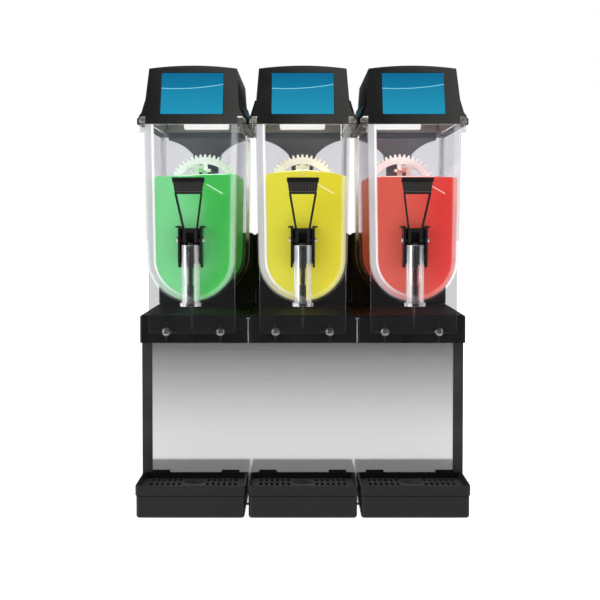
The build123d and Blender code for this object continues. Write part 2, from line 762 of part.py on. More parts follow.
ARM_FOOT = (TAP_Y - 1, 529.0)    # where the arms leave the lever's block, as Y and Z
ARM_HEAD = (-257.0, 594.0)       # where they reach the paddle
GRIP_LOW = 592.0
GRIP_TOP = 619.0
GRIP_FOOT = 23.5                 # half widths of the paddle at its foot and head
GRIP_HEAD = 27.5
GRIP_Y = -255.0                  # back face of the paddle


def make_tap_lever(side, x):
    """Forked block on the pivot pins, two spreading arms, and a ribbed paddle to pull."""
    run = sqrt((ARM_HEAD[0] - ARM_FOOT[0]) ** 2 + (ARM_HEAD[1] - ARM_FOOT[1]) ** 2)
    along = ((ARM_HEAD[0] - ARM_FOOT[0]) / run, (ARM_HEAD[1] - ARM_FOOT[1]) / run)
    arm_plane = Plane(origin=(x, *ARM_FOOT), x_dir=(1, 0, 0), z_dir=(0, -along[1], along[0]))
    with BuildPart() as lever:
        for hand in (-1, 1):
            skin = sorted((x + hand * 7.4, x + hand * 13))
            with BuildSketch(sideways(skin[0])):
                with BuildLine():
                    ThreePointArc((TAP_Y - 7, PIVOT_Z), (TAP_Y, PIVOT_Z - 7), (TAP_Y + 7, PIVOT_Z))
                    Polyline(
                        (TAP_Y + 7, PIVOT_Z), (TAP_Y + 7, 531), (TAP_Y - 9, 531), (TAP_Y - 7, PIVOT_Z)
                    )
                make_face()
            extrude(amount=skin[1] - skin[0])
            with BuildSketch(arm_plane):
                with BuildLine():
                    Polyline(
                        (hand * 9.4, -2), (hand * 13, -2), (hand * 24.5, run), (hand * 20.9, run), close=True
                    )
                make_face()
            extrude(amount=2.5, both=True)
        box_between((x - 13, TAP_Y - 8, 524.5), (x + 13, TAP_Y + 7, 531))
        with BuildSketch(upright(x, GRIP_Y)):
            with BuildLine():
                Polyline(
                    (-GRIP_FOOT, GRIP_LOW),
                    (GRIP_FOOT, GRIP_LOW),
                    (GRIP_HEAD, GRIP_TOP - 2),
                    (-GRIP_HEAD, GRIP_TOP - 2),
                    close=True,
                )
            make_face()
        extrude(amount=6)
        with BuildSketch(sideways(x - GRIP_HEAD - 0.5)):
            with BuildLine():
                Polyline(
                    (GRIP_Y + 1, GRIP_TOP - 5),
                    (GRIP_Y - 6, GRIP_TOP - 6),
                    (GRIP_Y - 15, GRIP_TOP),
                    (GRIP_Y - 14, GRIP_TOP + 2),
                    (GRIP_Y + 1, GRIP_TOP),
                    close=True,
                )
            make_face()
        extrude(amount=2 * GRIP_HEAD + 1)
        with BuildSketch(upright(x, GRIP_Y - 5)):
            with Locations((0, (GRIP_LOW + GRIP_TOP) / 2 - 4)):
                with GridLocations(5, 0, 8, 1):
                    Rectangle(1.6, 15)
        extrude(amount=2)
        with BuildSketch(sideways(x - 14, TAP_Y, PIVOT_Z)):
            Circle(PIVOT_RADIUS + FIT)
        extrude(amount=28, mode=Mode.SUBTRACT)
    finish(lever, f"tap_lever_{side}")


def make_knob(name, x):
    """Four-pointed star with a domed middle, on a stub through the deck's front."""
    back = DECK_FRONT - 0.6
    reach = 19.0
    blunt = 1.6
    waist = 8.0
    with BuildPart() as knob:
        with BuildSketch(upright(x, back, KNOB_Z)):
            with BuildLine():
                for quarter in range(4):
                    turn = 90 * quarter
                    corners = [(reach, blunt), (waist * cos(pi / 4), waist * sin(pi / 4)), (blunt, reach)]
                    hollow = [Vector(*corner).rotate(Axis.Z, turn) for corner in corners]
                    ThreePointArc(*hollow)
                    Line(hollow[2], Vector(-blunt, reach).rotate(Axis.Z, turn))
            make_face()
        extrude(amount=7)
        rod(x, back - 12, back, KNOB_Z, 7.6)
        fillet(knob.edges().filter_by(GeomType.CIRCLE).sort_by(Axis.Y)[0], 3.5)
        rod(x, back, DECK_FRONT + 8, KNOB_Z, 4)
    finish(knob, name)


# ---- Lids -----------------------------------------------------------------------------------
LID_FRONT = -190.0
LID_BACK = 268.0
LID_EDGE = 729.0                 # top of the upright rim
LID_CORNER = (80.0, 822.5)       # where the cheeks meet the crowned top, as X and Z
LID_KINK = (84.0, 764.0)         # where the cheeks start to flare out
SLOPE_FOOT = (-188.0, 731.0)     # lower and upper end of the sloping front, as Y and Z
SLOPE_HEAD = (-142.0, 823.0)
LABEL_SIZE = (114.0, 88.0)       # sunk field on the sloping front
LABEL_DROP = 1.5                 # how far that field sits below the middle of the slope
FRAME_FOOT = (96.5, 743.0)       # outer face of a side frame at its rear end, as X and Z
FRAME_HEAD = (87.0, 774.0)
FRAME_FRONT = -150.0
FRAME_BACK = 236.0
FRAME_RUN = (0, -1, -0.026)      # the side frames sink a little towards the front


def lid_body(x, inset, floor):
    """Solid inside the lid's outer faces, moved in by the inset."""
    side = HALF_MODULE - inset
    flank, kink = LID_KINK[0] - inset, LID_KINK[1]
    brow, corner = LID_CORNER[0] - inset, LID_CORNER[1] - inset
    with BuildPart(mode=Mode.PRIVATE) as body:
        with BuildSketch(upright(x, LID_BACK - inset)):
            with BuildLine():
                Polyline((-brow, corner), (-flank, kink))
                ThreePointArc((-flank, kink), (-flank - 4, kink - 21), (-side, LID_EDGE))
                Polyline((-side, LID_EDGE), (-side, floor), (side, floor), (side, LID_EDGE))
                ThreePointArc((side, LID_EDGE), (flank + 4, kink - 21), (flank, kink))
                Polyline((flank, kink), (brow, corner))
                ThreePointArc((brow, corner), (0, LID_TOP - inset), (-brow, corner))
            make_face()
        extrude(amount=LID_BACK - LID_FRONT)
        with BuildSketch(sideways(x - 120)):
            with BuildLine():
                Polyline(
                    (LID_FRONT + inset, floor),
                    (LID_FRONT + inset, LID_EDGE),
                    (SLOPE_FOOT[0] + inset, SLOPE_FOOT[1]),
                    (SLOPE_HEAD[0] + inset, SLOPE_HEAD[1]),
                    (SLOPE_HEAD[0] + 16, LID_TOP + 4),
                    (LID_BACK - 8, LID_TOP + 4),
                    (LID_BACK - inset, 760),
                    (LID_BACK - inset, floor),
                    close=True,
                )
            make_face()
        extrude(amount=240, mode=Mode.INTERSECT)
    return body.part


def label_plane(x, depth):
    """Plane in the middle of the label field on the sloping front, sunk by the depth."""
    rise = (SLOPE_HEAD[0] - SLOPE_FOOT[0], SLOPE_HEAD[1] - SLOPE_FOOT[1])
    run = sqrt(rise[0] ** 2 + rise[1] ** 2)
    outward = (0, -rise[1] / run, rise[0] / run)
    share = 0.5 - LABEL_DROP / run
    middle = (SLOPE_FOOT[0] + rise[0] * share, SLOPE_FOOT[1] + rise[1] * share)
    origin = (x, middle[0] - outward[1] * depth, middle[1] - outward[2] * depth)
    return Plane(origin=origin, x_dir=(1, 0, 0), z_dir=outward)


def frame_slab(x, hand, margin, inner, outer):
    """Slab along a side frame's sloping face, between two depths under that face."""
    lean = (FRAME_HEAD[0] - FRAME_FOOT[0]) / (FRAME_HEAD[1] - FRAME_FOOT[1])
    foot = (FRAME_FOOT[0] + lean * margin, FRAME_FOOT[1] + margin)
    head = (FRAME_HEAD[0] - lean * margin, FRAME_HEAD[1] - margin)
    with BuildSketch(upright(x, FRAME_BACK - margin)) as slab:
        with BuildLine():
            Polyline(
                (hand * (foot[0] - outer), foot[1]),
                (hand * (head[0] - outer), head[1]),
                (hand * (head[0] - inner), head[1]),
                (hand * (foot[0] - inner), foot[1]),
                close=True,
            )
        make_face()
    return slab.sketch


def make_lid(side, x):
    """Hollow lid with a flared rim, a sunk front label field and a framed field on each cheek."""
    outer = lid_body(x, 0, LID_BOTTOM)
    inner = lid_body(x, WALL, LID_BOTTOM - 5)
    depth = FRAME_BACK - FRAME_FRONT
    with BuildPart() as lid:
        add(outer)
        for hand in (-1, 1):
            extrude(frame_slab(x, hand, 0, 14, 0), amount=depth, dir=FRAME_RUN)
        add(inner, mode=Mode.SUBTRACT)
        for hand in (-1, 1):
            recess = frame_slab(x, hand, 6, 1.6, -2)
            extrude(recess, amount=depth - 12, dir=FRAME_RUN, mode=Mode.SUBTRACT)
            notch = sorted((x + hand * 82.5, x + hand * 101))
            box_between((notch[0], LID_FRONT - 2, LID_BOTTOM - 1), (notch[1], -174, 733), Mode.SUBTRACT)
        with BuildSketch(label_plane(x, 1.4)):
            RectangleRounded(*LABEL_SIZE, 2)
        extrude(amount=5, mode=Mode.SUBTRACT)
        # Ledge that rests on the bowl's rim.
        box_between((x - 97, -173, LID_BOTTOM), (x + 97, 190, LID_BOTTOM + 2.5))
        box_between((x - 82, LID_FRONT + 1, LID_BOTTOM), (x + 82, -172, LID_BOTTOM + 2.5))
        box_between((x - 79, -180, LID_BOTTOM - 1), (x + 79, 191, LID_BOTTOM + 3.5), Mode.SUBTRACT)
        # Opening at the back, for the mast.
        box_between((x - 83, LID_BACK - 12, LID_BOTTOM - 1), (x + 83, LID_BACK + 1, 766), Mode.SUBTRACT)
    finish(lid, f"lid_{side}")


def make_lid_label(side, x):
    """Printed plates in the three sunk fields of a lid."""
    with BuildPart() as label:
        with BuildSketch(label_plane(x, 1.3)):
            RectangleRounded(LABEL_SIZE[0] - 2, LABEL_SIZE[1] - 2, 1.5)
        extrude(amount=0.9)
        for hand in (-1, 1):
            plate = frame_slab(x, hand, 6.5, 1.5, 0.6)
            extrude(plate, amount=FRAME_BACK - FRAME_FRONT - 13, dir=FRAME_RUN)
    finish(label, f"lid_label_{side}")


# ---- Drip trays -----------------------------------------------------------------------------
TRAY_HALF = 98.0
SEAM_Z = 57.5
GRILLE_Z = 61.0
GRILLE_THICK = 3.0
CUP_HOLE_Y = -140.0


def make_drip_tray(side, x):
    """Deep tray with a proud rim band, and two hooks that enter the front panel."""
    with BuildPart() as tray:
        for inset, low, high in ((1.5, TRAY_BOTTOM, SEAM_Z), (0, SEAM_Z, TRAY_TOP)):
            box_between(
                (x - TRAY_HALF + inset, TRAY_FRONT + inset, low), (x + TRAY_HALF - inset, TRAY_REAR, high)
            )
        front = tray.edges().filter_by(Axis.Z).group_by(Axis.Y)
        fillet(front[0] + front[1], 7)
        fillet(tray.edges().group_by(Axis.Z)[0], 5)
        with BuildSketch(level(SEAM_Z - 1.4, x, 0)) as groove:
            with Locations((0, (TRAY_FRONT + TRAY_REAR) / 2)):
                Rectangle(2 * TRAY_HALF + 4, TRAY_REAR - TRAY_FRONT + 4)
                RectangleRounded(2 * TRAY_HALF - 5, TRAY_REAR - TRAY_FRONT - 5, 5, mode=Mode.SUBTRACT)
        extrude(amount=1.4, mode=Mode.SUBTRACT)
        with BuildSketch(level(TRAY_BOTTOM + WALL, x, (TRAY_FRONT + TRAY_REAR) / 2)):
            RectangleRounded(2 * TRAY_HALF - 14, TRAY_REAR - TRAY_FRONT - 14, 5)
        extrude(amount=TRAY_TOP, mode=Mode.SUBTRACT)
        with BuildSketch(level(GRILLE_Z - GAP, x, (TRAY_FRONT + TRAY_REAR) / 2)):
            RectangleRounded(2 * TRAY_HALF - 6, TRAY_REAR - TRAY_FRONT - 6, 5)
        extrude(amount=TRAY_TOP, mode=Mode.SUBTRACT)
        for hook in (x - HOOK_X, x + HOOK_X):
            box_between(
                (hook - HOOK_WIDTH / 2, TRAY_REAR - 0.5, HOOK_LOW),
                (hook + HOOK_WIDTH / 2, PANEL_FRONT + 5, HOOK_HIGH),
            )
    finish(tray, f"drip_tray_{side}")


def make_drip_grille(side, x):
    """Slotted plate with a round cup hole, crossed by a bar."""
    middle = (TRAY_FRONT + TRAY_REAR) / 2
    with BuildPart() as grille:
        with BuildSketch(level(GRILLE_Z, x, middle)):
            RectangleRounded(2 * TRAY_HALF - 7, TRAY_REAR - TRAY_FRONT - 7, 4.5)
        extrude(amount=GRILLE_THICK)
        with BuildSketch(level(GRILLE_Z - 1, x, CUP_HOLE_Y)):
            Circle(19.5)
            Rectangle(42, 3, mode=Mode.SUBTRACT)
            with Locations((-51.3, 0), (51.3, 0)):
                with GridLocations(10.2, 40, 6, 2):
                    SlotOverall(28, 5.5, rotation=90)
            with Locations((0, -60)):
                with GridLocations(10.2, 0, 16, 1):
                    SlotOverall(28, 5.5, rotation=90)
        extrude(amount=GRILLE_THICK + 2, mode=Mode.SUBTRACT)
    finish(grille, f"drip_grille_{side}")


os.makedirs("parts", exist_ok=True)

make_feet()
make_base_pan()
make_front_panel()
make_front_posts()
make_side_panels()
make_rear_panel()
make_screws()
make_power_inlet()
make_power_switch()
make_compressor()
make_condenser()
make_fan_shroud()
make_fan()
make_deck_covers()
make_rear_housings()
make_gear_motors()
make_masts()
make_lamp_lenses()
make_evaporators()
make_back_plates()
make_bowl_seals()

for side, x in SIDES.items():
    make_bowl(side, x)
    make_slush(side, x)
    make_auger(side, x)
    make_mixer_wheel(side, x)
    make_tap_bracket(side, x)
    make_tap_piston(side, x)
    make_tap_lever(side, x)
    make_knob(f"knob_{side}_a", x - KNOB_X)
    make_knob(f"knob_{side}_b", x + KNOB_X)
    make_lid(side, x)
    make_lid_label(side, x)
    make_drip_tray(side, x)
    make_drip_grille(side, x)
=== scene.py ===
import json
import math

import bmesh
import bpy
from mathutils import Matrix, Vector


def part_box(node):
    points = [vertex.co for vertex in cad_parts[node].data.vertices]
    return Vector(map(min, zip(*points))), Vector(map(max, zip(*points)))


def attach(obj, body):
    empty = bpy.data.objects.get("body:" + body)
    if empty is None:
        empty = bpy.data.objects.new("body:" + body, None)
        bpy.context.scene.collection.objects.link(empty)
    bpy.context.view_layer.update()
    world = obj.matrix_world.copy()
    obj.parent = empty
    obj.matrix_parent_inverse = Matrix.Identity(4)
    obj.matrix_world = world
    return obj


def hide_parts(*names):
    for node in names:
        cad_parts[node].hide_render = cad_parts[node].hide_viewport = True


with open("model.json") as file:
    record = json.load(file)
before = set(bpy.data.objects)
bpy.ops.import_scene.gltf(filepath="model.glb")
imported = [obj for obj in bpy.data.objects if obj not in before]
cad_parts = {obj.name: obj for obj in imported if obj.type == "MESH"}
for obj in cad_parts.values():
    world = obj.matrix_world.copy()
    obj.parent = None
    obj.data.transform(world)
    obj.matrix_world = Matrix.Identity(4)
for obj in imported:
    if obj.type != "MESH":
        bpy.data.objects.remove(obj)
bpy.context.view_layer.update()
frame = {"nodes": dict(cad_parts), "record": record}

MM = 0.001
PITCH = 200 * MM                 # width of one bowl module
SIDES = ("left", "centre", "right")
DRUM_Z = 477 * MM                # axis of the cold drum and of the bowl's round bottom
BOWL_RADIUS = 80 * MM
BOWL_FRONT = -188 * MM
TAP_Y = -215 * MM                # axis of the taps
PIVOT_Z = 511 * MM               # pins of the tap levers
KNOB_OFF = 49.5 * MM             # star knobs, from the middle of the module
KNOB_Z = 342 * MM
LABEL_FRONT = -136 * MM          # the front labels end here, and the cheeks' labels begin
BAND_Z = 728 * MM                # lower edge of the lamp heads


# ---- Camera ---------------------------------------------------------------------------------
def make_camera():
    """Eye level with the bowls, a little to the left, looking slightly down."""
    data = bpy.data.cameras.new("camera")
    data.lens = 84.7
    data.sensor_width = 36
    data.shift_y = -0.05
    camera = bpy.data.objects.new("camera", data)
    camera.location = (-5 * MM, -2728 * MM, 552 * MM)
    camera.rotation_euler = (math.radians(90 - 2.15), 0, 0)
    bpy.context.collection.objects.link(camera)
    bpy.context.scene.camera = camera


# ---- Shader building ------------------------------------------------------------------------
class Shader:
    """One procedural material with a Principled surface and short calls to add its nodes."""

    def __init__(self, name, colour=(0.5, 0.5, 0.5), rough=0.5, **sockets):
        self.material = bpy.data.materials.new(name)
        self.material.use_nodes = True
        self.nodes = self.material.node_tree.nodes
        self.links = self.material.node_tree.links
        self.nodes.clear()
        self.output = self.nodes.new("ShaderNodeOutputMaterial")
        self.surface = self.add("ShaderNodeBsdfPrincipled")
        self.put("Base Color", colour)
        self.put("Roughness", rough)
        for socket, value in sockets.items():
            self.put(socket.replace("_", " "), value)
        self.links.new(self.surface.outputs[0], self.output.inputs["Surface"])
        self.place = self.add("ShaderNodeTexCoord").outputs["Object"]

    def add(self, kind, **settings):
        node = self.nodes.new(kind)
        for key, value in settings.items():
            setattr(node, key, value)
        return node

    def feed(self, socket, value):
        """Links a socket to another, or sets it to a plain value."""
        if isinstance(value, bpy.types.NodeSocket):
            self.links.new(value, socket)
        elif isinstance(value, (tuple, list)) and socket.type == "RGBA":
            socket.default_value = (*value[:3], 1)
        else:
            socket.default_value = value

    def put(self, socket, value):
        self.feed(self.surface.inputs[socket], value)

    def math(self, operation, *values, clamp=False):
        node = self.add("ShaderNodeMath", operation=operation, use_clamp=clamp)
        for socket, value in zip(node.inputs, values):
            self.feed(socket, value)
        return node.outputs[0]

    def axes(self):
        split = self.add("ShaderNodeSeparateXYZ")
        self.feed(split.inputs[0], self.place)
        return split.outputs

    def across(self):
        """Distance to the right of the middle of the module that a point belongs to."""
        shifted = self.math("ADD", self.axes()[0], 5.5 * PITCH)
        return self.math("SUBTRACT", self.math("MODULO", shifted, PITCH), PITCH / 2)

    def length(self, first, second):
        squares = self.math("MULTIPLY", first, first)
        return self.math("SQRT", self.math("MULTIPLY_ADD", second, second, squares))

    def stretched(self, scale):
        mapping = self.add("ShaderNodeMapping")
        self.feed(mapping.inputs["Vector"], self.place)
        mapping.inputs["Scale"].default_value = scale
        return mapping.outputs[0]

    def noise(self, scale, detail=3.0, at=None, rough=0.5):
        node = self.add("ShaderNodeTexNoise")
        self.feed(node.inputs["Vector"], at or self.place)
        node.inputs["Scale"].default_value = scale
        node.inputs["Detail"].default_value = detail
        node.inputs["Roughness"].default_value = rough
        return node.outputs[0]

    def ramp(self, value, low, high, to_low=0.0, to_high=1.0, smooth=False):
        """Maps a value from one range to another, held at both ends."""
        node = self.add("ShaderNodeMapRange")
        node.interpolation_type = "SMOOTHSTEP" if smooth else "LINEAR"
        for socket, item in zip(node.inputs, (value, low, high, to_low, to_high)):
            self.feed(socket, item)
        return node.outputs[0]

    def mix(self, share, first, second):
        node = self.add("ShaderNodeMix", data_type="RGBA")
        self.feed(node.inputs[0], share)
        self.feed(node.inputs[6], first)
        self.feed(node.inputs[7], second)
        return node.outputs[2]

    def bump(self, height, strength, distance):
        node = self.add("ShaderNodeBump")
        self.feed(node.inputs["Height"], height)
        node.inputs["Strength"].default_value = strength
        node.inputs["Distance"].default_value = distance
        return node

    def soft_edges(self, radius, grain=None):
        """Rounds sharp edges in the shading, with the grain on top."""
        bevel = self.add("ShaderNodeBevel", samples=4)
        bevel.inputs["Radius"].default_value = radius
        if grain:
            self.feed(grain.inputs["Normal"], bevel.outputs[0])
            self.put("Normal", grain.outputs[0])
        else:
            self.put("Normal", bevel.outputs[0])


def moulded(name, colour, rough, grain=0.25, edge=1.0, shine=0.25, **sockets):
    """Moulded plastic: fine grain, soft edges, faint handling marks."""
    shader = Shader(name, colour, rough, Specular_IOR_Level=shine, **sockets)
    marks = shader.noise(14, 5)
    fine = shader.noise(900, 2)
    shader.put("Roughness", shader.ramp(marks, 0.3, 0.7, rough * 0.85, rough * 1.2))
    lighter = tuple(min(1, c * 1.25 + 0.004) for c in colour)
    darker = tuple(c * 0.8 for c in colour)
    shader.put("Base Color", shader.mix(shader.ramp(marks, 0.3, 0.7), darker, lighter))
    shader.soft_edges(edge * MM, shader.bump(fine, grain, 0.15 * MM))
    return shader


def sheet_metal(name, colour, rough, stretch, **sockets):
    """Metal with a directional brush."""
    shader = Shader(name, colour, rough, Metallic=1.0, **sockets)
    brush = shader.noise(1.0, 4, at=shader.stretched(stretch))
    shader.put("Roughness", shader.ramp(brush, 0.3, 0.7, rough * 0.75, rough * 1.3))
    shader.soft_edges(0.6 * MM, shader.bump(brush, 0.12, 0.08 * MM))
    return shader


# ---- Materials ------------------------------------------------------------------------------
def lid_plastic():
    """Dark grey outside with a painted sheen towards the right of each module, and painted lamp light in pale
    grey inside.
    """
    shader = moulded("lid_plastic", (0.015, 0.015, 0.015), 0.42, grain=0.35, edge=2.5, shine=0.12)
    _, y, z = shader.axes()
    inward = shader.add("ShaderNodeCombineXYZ")
    shader.feed(inward.inputs[0], shader.across())
    shader.feed(inward.inputs[1], shader.math("SUBTRACT", y, 40 * MM))
    shader.feed(inward.inputs[2], shader.math("SUBTRACT", z, 740 * MM))
    facing = shader.add("ShaderNodeVectorMath", operation="DOT_PRODUCT")
    shader.feed(facing.inputs[0], inward.outputs[0])
    shader.feed(facing.inputs[1], shader.add("ShaderNodeNewGeometry").outputs["True Normal"])
    inside = shader.math("LESS_THAN", facing.outputs["Value"], -20 * MM)
    # Painted sheen: the outside turns paler towards the right of each module, along a noisy border.
    drift = shader.math("MULTIPLY_ADD", shader.noise(14, 5), 60 * MM, shader.across())
    paler = shader.ramp(drift, -40 * MM, 110 * MM)
    outside = shader.mix(paler, (0.008, 0.008, 0.008), (0.036, 0.035, 0.033))
    # Painted lamp light: faces turned into the lid get pale grey in place of the dark plastic.
    shader.put("Base Color", shader.mix(inside, outside, (0.34, 0.34, 0.34)))
    return shader.material


def mast_plastic():
    """Blue-grey post with a paler band round the lamp."""
    shader = moulded("mast_plastic", (0.075, 0.078, 0.1), 0.45)
    height = shader.axes()[2]
    band = shader.ramp(height, BAND_Z - 0.4 * MM, BAND_Z + 0.4 * MM)
    shader.put("Base Color", shader.mix(band, (0.064, 0.072, 0.1), (0.2, 0.195, 0.19)))
    return shader.material


def bracket_plastic():
    """Black ears with bright heads on the pivot pins."""
    shader = moulded("bracket_plastic", (0.006, 0.006, 0.007), 0.3)
    _, y, z = shader.axes()
    out = shader.math("GREATER_THAN", shader.math("ABSOLUTE", shader.across()), 21.7 * MM)
    reach = shader.length(shader.math("SUBTRACT", z, PIVOT_Z), shader.math("SUBTRACT", y, TAP_Y))
    pin = shader.math("MULTIPLY", out, shader.math("LESS_THAN", reach, 5.1 * MM))
    shader.put("Metallic", pin)
    shader.put("Base Color", shader.mix(pin, (0.006, 0.006, 0.007), (0.8, 0.8, 0.82)))
    return shader.material


def seal_rubber():
    """Black where it meets the housing; above it, painted light: pale grey standing in for the light seen
    through the plate.
    """
    shader = moulded("seal_rubber", (0.01, 0.01, 0.01), 0.6)
    # Painted light: pale grey above the housing, matched to the bright plate behind it.
    painted_light_share = shader.ramp(shader.axes()[2], 500 * MM, 530 * MM)
    shader.put("Base Color", shader.mix(painted_light_share, (0.006, 0.006, 0.006), (0.9, 0.9, 0.92)))
    return shader.material


def tray_plastic():
    """Dark grey outside, with painted shade: black in the depth of the basin and on the wall behind it."""
    shader = moulded("tray_plastic", (0.0155, 0.0155, 0.017), 0.42, grain=0.4, edge=1.5, shine=0.15)
    _, y, z = shader.axes()
    # Painted shade: the inside of the basin and its back wall are coloured black.
    basin_shade = shader.math("LESS_THAN", shader.math("ABSOLUTE", shader.across()), 94.5 * MM)
    basin_shade = shader.math("MULTIPLY", basin_shade, shader.math("GREATER_THAN", y, -236.5 * MM))
    basin_shade = shader.math("MULTIPLY", basin_shade, shader.math("GREATER_THAN", z, 19 * MM))
    shader.put("Base Color", shader.mix(basin_shade, (0.0155, 0.0155, 0.017), (0.003, 0.003, 0.003)))
    return shader.material


def knob_plastic():
    """Black star with a dark-plated domed cap."""
    shader = moulded("knob_plastic", (0.006, 0.006, 0.007), 0.26, grain=0.02, shine=0.4)
    off = shader.math("SUBTRACT", shader.math("ABSOLUTE", shader.across()), KNOB_OFF)
    up = shader.math("SUBTRACT", shader.axes()[2], KNOB_Z)
    cap = shader.math("LESS_THAN", shader.length(off, up), 7.9 * MM)
    shader.put("Metallic", cap)
    shader.put("Base Color", shader.mix(cap, (0.006, 0.006, 0.007), (0.38, 0.38, 0.39)))
    return shader.material


def lever_plastic():
    """Black, with painted highlights: lighter stripes over the paddle's fine ribs and a lighter line on its
    lip.
    """
    shader = moulded("lever_plastic", (0.007, 0.007, 0.007), 0.34, shine=0.2)
    _, y, z = shader.axes()
    rib_pitch = 5 * MM
    turn = shader.math("MULTIPLY", shader.across(), 2 * math.pi / rib_pitch)
    rib = shader.ramp(shader.math("COSINE", turn), 0.0, 0.8)
    field = shader.math(
        "MULTIPLY", shader.ramp(z, 597 * MM, 599 * MM), shader.ramp(z, 614 * MM, 612 * MM)
    )
    lip = shader.math(
        "MULTIPLY", shader.ramp(z, 595 * MM, 596 * MM), shader.ramp(z, 597.5 * MM, 596.5 * MM)
    )
    # Painted highlights where the ribs and the lower lip would catch the light.
    rib_lip_highlight = shader.math("MAXIMUM", shader.math("MULTIPLY", rib, shader.math("MULTIPLY", field, 0.35)), lip)
    ahead = shader.math("LESS_THAN", y, -254 * MM)
    rib_lip_highlight = shader.math("MULTIPLY", rib_lip_highlight, ahead)
    paddle = shader.math("MULTIPLY", field, ahead)
    body = shader.mix(paddle, (0.006, 0.006, 0.006), (0.016, 0.015, 0.014))
    shader.put("Base Color", shader.mix(rib_lip_highlight, body, (0.07, 0.066, 0.062)))
    return shader.material


def brushed_panel():
    """Horizontally brushed steel: crisp reflections over a soft sheen."""
    shader = Shader("brushed_panel", (0.72, 0.72, 0.73), 0.07)
    # Painted light: less metallic towards the bottom, so the lower panel reads brighter.
    shader.put("Metallic", shader.ramp(shader.axes()[2], 60 * MM, 300 * MM, 0.6, 0.78))
    brush = shader.noise(1.0, 5, at=shader.stretched((5, 5, 2600)))
    shader.put("Roughness", shader.ramp(brush, 0.3, 0.7, 0.05, 0.1))
    streaks = shader.mix(shader.ramp(brush, 0.3, 0.7), (0.7, 0.7, 0.71), (0.75, 0.75, 0.76))
    shader.put("Base Color", streaks)
    shader.soft_edges(0.6 * MM, shader.bump(brush, 0.05, 0.05 * MM))
    return shader.material


class ClearShader(Shader):
    """Clear sheet: light passes straight through, and mirrors more where it grazes the surface."""

    def __init__(self, name, tint, clearest, sheen):
        super().__init__(name, (0.88, 0.88, 0.9), 0.25)
        rounded = self.add("ShaderNodeBevel", samples=4)
        rounded.inputs["Radius"].default_value = 2.5 * MM
        graze = self.add("ShaderNodeLayerWeight")
        graze.inputs["Blend"].default_value = 0.5
        self.feed(graze.inputs["Normal"], rounded.outputs[0])
        steep = self.math("POWER", graze.outputs["Facing"], 4.0)
        gloss = self.add("ShaderNodeBsdfGlossy")
        gloss.inputs["Roughness"].default_value = 0.05
        self.feed(gloss.inputs["Normal"], rounded.outputs[0])
        through = self.add("ShaderNodeBsdfTransparent")
        self.filter = through.inputs["Color"]
        self.clearness = self.mix(steep, clearest, tint)
        self.feed(self.filter, self.clearness)
        self.body = self.add("ShaderNodeMixShader")
        self.links.new(through.outputs[0], self.body.inputs[1])
        self.links.new(self.surface.outputs[0], self.body.inputs[2])
        self.both = self.add("ShaderNodeMixShader")
        self.shine = self.math("MULTIPLY_ADD", steep, sheen, 0.02)
        self.feed(self.both.inputs[0], self.shine)
        self.links.new(self.body.outputs[0], self.both.inputs[1])
        self.links.new(gloss.outputs[0], self.both.inputs[2])
        self.links.new(self.both.outputs[0], self.output.inputs["Surface"])
        flat = self.add("ShaderNodeVectorMath", operation="DOT_PRODUCT")
        self.feed(flat.inputs[0], rounded.outputs[0])
        self.feed(flat.inputs[1], self.add("ShaderNodeNewGeometry").outputs["True Normal"])
        self.corner = self.ramp(flat.outputs["Value"], 0.995, 0.8)

    def haze_and_highlight(self, share):
        """Sets how milky the sheet is; on the bowl it also carries pale painted highlights."""
        self.feed(self.body.inputs[0], share)

    def gloss(self, share):
        """Scales how much the sheet mirrors."""
        self.feed(self.both.inputs[0], self.math("MULTIPLY", self.shine, share))

    def darken_through(self, share, colour):
        """Darkens what is seen through part of the sheet, as painted shade."""
        self.feed(self.filter, self.mix(share, self.clearness, colour))


def clear_plate():
    """Back plate, slightly smoky with faint smears."""
    shader = ClearShader("clear_plate", (0.72, 0.72, 0.75), (0.86, 0.86, 0.88), 0.3)
    shader.haze_and_highlight(shader.ramp(shader.noise(9, 4), 0.3, 0.7, 0.02, 0.06))
    return shader.material


